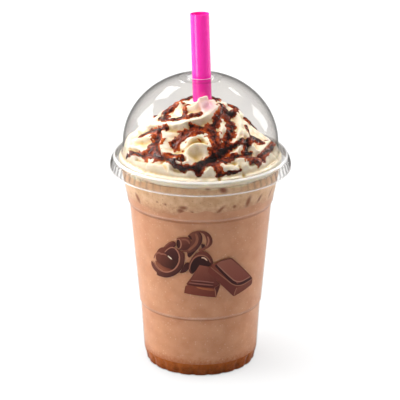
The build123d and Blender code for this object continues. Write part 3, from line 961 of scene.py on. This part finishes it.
# ------------------------------------------------------------------------ cup print
# Chocolate curls and two squares, screen-printed in browns on the front of the cup. Each shape
# is one field of ink, laid over the ones before it; places are millimetres round and up the wall.
INK_SHAPES = [
    # (kind, first colour, last colour, way of the blend in degrees, outline), or
    # ("line", width, colour, points)
    # the far loop
    ("soft", "#874f3e", "#582a21", 20, [
        (-3.2, 92.2), (-0.4, 92.7), (2.8, 92.2), (5.2, 90.2), (6.6, 87.5), (6.7, 84.8),
        (5.4, 82.7), (3.2, 81.2), (0.8, 80.0), (-1.2, 79.8), (-1.0, 81.2), (1.2, 81.9),
        (3.0, 83.2), (3.4, 85.9), (2.9, 88.6), (1.8, 90.6), (0.6, 91.2), (-1.2, 91.7),
    ]),
    # its shine
    ("line", 1.0, "#a06854", [(3.9, 89.0), (4.6, 86.9), (4.4, 84.7), (3.2, 82.8)]),
    # its dark inside
    ("hard", "#3b1a16", "#49231d", 0, [(0.3, 84.5), (2.5, 84.0), (2.2, 82.3), (0.6, 81.8)]),
    # the arch
    ("soft", "#7a4635", "#48231f", -25, [
        (-7.2, 89.2), (-5.2, 91.3), (-2.8, 92.3), (-0.6, 91.9), (0.8, 89.9), (1.1, 86.6),
        (-0.0, 83.5), (-2.0, 80.6), (-4.2, 78.0), (-6.2, 75.6), (-7.3, 77.2), (-7.5, 78.7),
        (-8.5, 79.3), (-11.0, 78.7), (-10.1, 80.3), (-7.2, 82.1), (-5.4, 84.9), (-4.8, 87.1),
        (-5.2, 88.7), (-6.4, 89.3),
    ]),
    # its shine
    ("line", 1.6, "#87523e", [
        (-2.8, 90.8), (-1.7, 88.1), (-2.2, 85.0), (-4.4, 82.3), (-6.8, 80.3),
    ]),
    # its dark right edge
    ("line", 0.8, "#48231f", [(-1.0, 91.7), (0.6, 89.5), (0.7, 86.6), (-0.3, 83.9), (-2.8, 80.8)]),
    # its lower end
    ("soft", "#3b1a16", "#391815", 0, [
        (-7.4, 78.4), (-4.4, 79.4), (-2.8, 80.5), (-4.2, 78.0), (-6.2, 75.5), (-7.3, 76.7),
    ]),
    # its upper end
    ("soft", "#3b1a16", "#49231d", 0, [
        (-7.2, 89.2), (-5.9, 89.7), (-4.9, 88.6), (-4.7, 86.8), (-5.6, 87.2), (-6.7, 88.5),
    ]),
    # the short roll
    ("soft", "#774132", "#4b251f", -60, [
        (-13.9, 86.7), (-12.2, 87.8), (-7.6, 88.5), (-6.0, 87.7), (-5.1, 85.8), (-5.4, 83.1),
        (-6.8, 81.2), (-8.5, 80.2), (-11.0, 80.0), (-12.3, 80.5),
    ]),
    # its light streak
    ("line", 0.9, "#875140", [(-10.7, 86.5), (-8.5, 86.9), (-6.6, 85.9), (-6.2, 84.4)]),
    # its dark streak
    ("line", 0.8, "#582c23", [(-10.3, 82.7), (-8.1, 83.1), (-6.4, 84.3)]),
    # its open end
    ("ellipse", "#2e1412", "#49231d", 0, [(-12.3, 83.7), (1.3, 2.9)]),
    # the rim of its open end
    ("line", 0.7, "#9c6753", [
        (-13.5, 86.1), (-12.2, 86.9), (-11.1, 85.5), (-10.8, 83.1), (-11.5, 81.0), (-12.6, 80.7),
    ]),
    # the outer curl
    ("soft", "#6c362b", "#4a221f", -30, [
        (-23.3, 76.1), (-22.1, 79.4), (-20.1, 82.1), (-17.8, 84.1), (-15.6, 84.9), (-14.2, 84.5),
        (-13.9, 82.5), (-15.2, 81.1), (-17.4, 80.7), (-19.2, 79.5), (-20.6, 77.4), (-21.8, 75.8),
    ]),
    # its edge
    ("line", 0.6, "#7a4535", [(-22.6, 77.1), (-21.2, 79.7), (-18.8, 82.7), (-16.1, 84.2)]),
    # the big curl
    ("soft", "#68362a", "#411f1a", -50, [
        (-13.9, 81.8), (-12.2, 79.8), (-9.0, 78.6), (-8.8, 75.7), (-9.1, 72.1), (-10.2, 68.8),
        (-11.9, 66.4), (-14.0, 64.3), (-16.7, 62.6), (-19.9, 61.3), (-23.6, 61.1), (-27.1, 61.4),
        (-26.3, 62.9), (-28.7, 64.1), (-30.8, 66.2), (-31.0, 69.3), (-29.5, 69.1), (-26.9, 65.5),
        (-19.9, 65.0), (-13.6, 68.4), (-11.8, 75.4),
    ]),
    # its inside
    ("ellipse", "#683426", "#2e1411", -35, [(-19.7, 72.8), (7.4, 7.6)]),
    # the back of its inside
    ("soft", "#49231f", "#391916", -60, [
        (-21.5, 76.6), (-19.7, 79.0), (-16.1, 81.1), (-13.5, 80.1), (-12.2, 76.7), (-12.3, 74.0),
        (-15.3, 72.6), (-18.4, 74.8), (-20.2, 76.0),
    ]),
    # the light on its inside
    ("soft", "#874e36", "#5a281f", 60, [
        (-27.9, 70.7), (-27.1, 68.2), (-24.8, 66.1), (-21.3, 64.9), (-18.5, 65.3), (-15.3, 67.1),
        (-18.0, 67.6), (-21.8, 67.8), (-25.2, 69.6),
    ]),
    # its rim
    ("line", 0.8, "#996350", [
        (-28.9, 69.5), (-27.4, 66.8), (-24.5, 64.9), (-19.9, 64.6), (-15.8, 66.6), (-13.1, 69.8),
        (-11.8, 73.6), (-11.9, 76.7), (-13.3, 79.9), (-15.9, 81.4), (-18.8, 79.7), (-20.9, 77.1),
    ]),
    # its lip
    ("line", 1.1, "#875140", [
        (-28.5, 71.4), (-27.8, 73.5), (-26.0, 75.6), (-24.3, 76.1), (-23.5, 75.4), (-21.5, 76.0),
        (-19.8, 75.5),
    ]),
    # the spark on its lip
    ("line", 0.7, "#dac5ac", [(-18.9, 75.3), (-17.7, 74.5), (-16.4, 73.6)]),
    # the gap beside the small ring
    ("soft", "#48221d", "#3b1916", 0, [
        (-12.4, 65.3), (-10.2, 68.4), (-9.1, 71.6), (-6.9, 73.1), (-5.8, 71.9), (-6.4, 68.9),
        (-8.3, 66.5),
    ]),
    # the small ring
    ("soft", "#6c372b", "#4d251f", -70, [
        (-5.0, 65.2), (-6.5, 67.4), (-6.8, 70.5), (-5.8, 73.9), (-3.6, 77.8), (-0.4, 80.1),
        (2.8, 79.9), (5.2, 77.8), (6.9, 74.5), (7.1, 72.0), (5.2, 70.6), (2.8, 71.2), (-2.8, 67.6),
    ]),
    # its inside
    ("soft", "#280f0e", "#391714", 20, [
        (-4.6, 66.1), (-5.9, 68.8), (-5.2, 72.4), (-3.2, 75.5), (-0.4, 77.0), (2.8, 76.7),
        (4.8, 74.7), (6.0, 71.9), (4.4, 70.4), (0.4, 70.7), (-3.2, 67.5),
    ]),
    # its rim
    ("line", 0.7, "#915e4b", [
        (-6.1, 68.7), (-5.6, 72.4), (-3.6, 76.0), (-0.6, 77.7), (2.6, 77.2), (4.5, 75.2),
        (5.5, 72.8),
    ]),
    # the spark on its rim
    ("line", 0.8, "#dab094", [(0.5, 76.0), (2.2, 75.9), (3.7, 74.1)]),
    # the left square's top
    ("hard", "#814839", "#5b2821", -80, [
        (-0.6, 71.5), (5.2, 70.2), (8.9, 61.3), (11.0, 59.0), (7.7, 56.8), (-7.3, 58.6),
        (-7.9, 59.4), (-4.8, 64.1),
    ]),
    # its first light line
    ("line", 0.7, "#8c584e", [(-5.3, 61.8), (1.2, 61.4), (7.5, 60.2)]),
    # its first dark line
    ("line", 0.6, "#49201c", [(-5.6, 60.9), (1.2, 60.4), (7.3, 59.3)]),
    # its second light line
    ("line", 0.9, "#875248", [(-6.4, 60.2), (1.2, 59.5), (7.1, 58.5)]),
    # its second dark line
    ("line", 0.6, "#49201c", [(-6.9, 59.1), (1.2, 58.5), (7.1, 57.5)]),
    # its front
    ("hard", "#793e2e", "#672e24", -70, [
        (-8.5, 57.9), (-7.2, 58.8), (7.8, 56.8), (8.5, 50.9), (-9.2, 53.5),
    ]),
    # the light on its front
    ("soft", "#a4603d", "#874a33", 0, [
        (-3.2, 58.1), (1.2, 57.3), (7.5, 56.5), (7.8, 54.8), (4.4, 55.5), (-0.4, 56.5),
    ]),
    # its side
    ("hard", "#4d231e", "#5a2b23", 60, [
        (7.8, 56.8), (11.1, 59.0), (10.9, 57.5), (8.7, 50.8), (8.2, 50.9),
    ]),
    # its corner
    ("line", 0.6, "#96614e", [(7.8, 56.7), (8.4, 54.1), (8.5, 51.1)]),
    # the right square's left side
    ("hard", "#71372c", "#622e27", -50, [
        (4.3, 68.8), (5.4, 70.4), (21.3, 54.8), (19.4, 49.8), (18.8, 50.2), (4.1, 67.2),
    ]),
    # its right side
    ("hard", "#774133", "#673428", -60, [
        (21.2, 54.8), (33.3, 57.1), (33.0, 54.1), (31.8, 53.4), (20.2, 49.9), (19.4, 49.8),
    ]),
    # its top
    ("hard", "#773e2f", "#673227", -50, [
        (5.2, 70.1), (6.5, 71.9), (10.6, 73.3), (16.4, 74.3), (18.3, 73.8), (32.9, 57.9),
        (33.2, 56.9), (21.4, 54.6), (20.7, 55.1),
    ]),
    # the groove round its panel
    ("line", 2.0, "#391514", [(8.3, 71.2), (14.0, 64.3), (21.0, 56.2), (26.6, 57.2), (32.4, 57.7)]),
    # its panel
    ("hard", "#8c5445", "#71362d", -50, [
        (9.3, 71.7), (11.0, 73.1), (16.4, 74.0), (18.2, 73.5), (31.5, 59.0), (21.9, 57.2),
        (21.3, 57.6),
    ]),
    # the light round its panel
    ("line", 0.7, "#9c6958", [(9.2, 71.4), (14.9, 64.6), (21.7, 57.4), (31.1, 59.2)]),
    # its front edges
    ("line", 0.6, "#935e4b", [(5.4, 70.2), (12.7, 63.2), (21.2, 54.8), (33.0, 57.1)]),
    # its front corner
    ("line", 0.6, "#935e4b", [(21.2, 54.8), (20.0, 52.2), (19.5, 49.8)]),
    # its far edges
    ("line", 0.5, "#582823", [(10.6, 73.3), (16.4, 74.3), (18.2, 73.7), (32.7, 57.9)]),
]
INK_LIFT, INK_STEP = 0.05, 0.015


def rounded(points, rounds, closed):
    """Cuts the corners of a flat outline until it runs smoothly."""
    line = np.array(points, dtype=float)
    for _ in range(rounds):
        ahead = np.roll(line, -1, axis=0) if closed else line[1:]
        here = line if closed else line[:-1]
        inner = np.stack([0.75 * here + 0.25 * ahead, 0.25 * here + 0.75 * ahead], 1).reshape(-1, 2)
        line = inner if closed else np.concatenate([line[:1], inner, line[-1:]])
    return line


def stroke(points, width):
    """The outline of a drawn line that tapers at both ends."""
    line = rounded(points, 2, False)
    run = np.gradient(line, axis=0)
    across = np.stack([-run[:, 1], run[:, 0]], 1) / np.linalg.norm(run, axis=1)[:, None]
    half = width / 2 * np.sin(math.pi * np.linspace(0.12, 0.88, len(line))) ** 0.7
    return np.concatenate([line + across * half[:, None], (line - across * half[:, None])[::-1]])


def oval(centre, halves, steps=28):
    """An ellipse from its centre and its half width and half height."""
    turns = np.linspace(0, 2 * math.pi, steps, endpoint=False)
    round_centre = np.stack([halves[0] * np.cos(turns), halves[1] * np.sin(turns)], 1)
    return np.array(centre) + round_centre


ink_points, ink_faces, ink_levels, ink_colours, laid = [], [], [], [], []
for kind, *rest in INK_SHAPES:
    if kind == "line":
        width, first_ink, points = rest
        last_ink, blend_way, outline = first_ink, 0, stroke(points, width)
    else:
        first_ink, last_ink, blend_way, points = rest
        if kind == "ellipse":
            outline = oval(*points)
        else:
            outline = rounded(points, 2, True) if kind == "soft" else np.array(points)
    ahead = np.roll(outline, -1, axis=0)
    if np.sum(outline[:, 0] * ahead[:, 1] - outline[:, 1] * ahead[:, 0]) < 0:
        outline = outline[::-1]  # counter-clockwise, so that the ink faces outwards
    low, high = outline.min(axis=0), outline.max(axis=0)
    under = [level for a, b, level in laid if np.all(a < high) and np.all(b > low)]
    level = 1 + max(under, default=0)
    laid.append((low, high, level))
    way = np.array([math.cos(math.radians(blend_way)), math.sin(math.radians(blend_way))])
    share = outline @ way
    share = (share - share.min()) / max(float(np.ptp(share)), 0.01)
    start = len(ink_points)
    ink_faces.append(list(range(start, start + len(outline))))
    ink_points += [(x * MM, 0.0, z * MM) for x, z in outline]
    ink_levels += [level] * len(outline)
    first_ink, last_ink = np.array(srgb(first_ink)), np.array(srgb(last_ink))
    ink_colours += [tuple(first_ink + (last_ink - first_ink) * s) for s in share]
ink_mesh = bpy.data.meshes.new("cup_print")
ink_mesh.from_pydata(ink_points, [], ink_faces)
ink_mesh.attributes.new("level", "FLOAT", "POINT").data.foreach_set("value", ink_levels)
ink_mesh.attributes.new("ink", "FLOAT_COLOR", "POINT").data.foreach_set(
    "color", np.array(ink_colours, dtype=np.float32).ravel()
)
ink = bpy.data.objects.new("cup_print", ink_mesh)
bpy.context.scene.collection.objects.link(ink)
choose(ink)
bpy.ops.object.mode_set(mode="EDIT")
bpy.ops.mesh.select_all(action="SELECT")
bpy.ops.mesh.quads_convert_to_tris(ngon_method="BEAUTY")
bpy.ops.mesh.subdivide(number_cuts=3)
bpy.ops.object.mode_set(mode="OBJECT")
flat = vertex_places(ink)
levels = np.empty(len(flat), dtype=np.float32)
ink.data.attributes["level"].data.foreach_get("value", levels)
wall = np.interp(flat[:, 2], wall_heights, wall_reaches)
turns = flat[:, 0] / wall
reach = wall + INK_LIFT + INK_STEP * levels
set_places(ink, np.stack([reach * np.sin(turns), -reach * np.cos(turns), flat[:, 2]], 1))
inks, tree, out = material("screen_printed_ink")
pigment = node(tree, "ShaderNodeAttribute", attribute_name="ink")
varnish = node(
    tree, "ShaderNodeBsdfPrincipled",
    [("Base Color", pigment.outputs["Color"]), ("Roughness", 0.4), ("Specular IOR Level", 0.15)],
)
tree.links.new(varnish.outputs[0], out.inputs["Surface"])
ink.data.materials.append(inks)
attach(ink, "root")
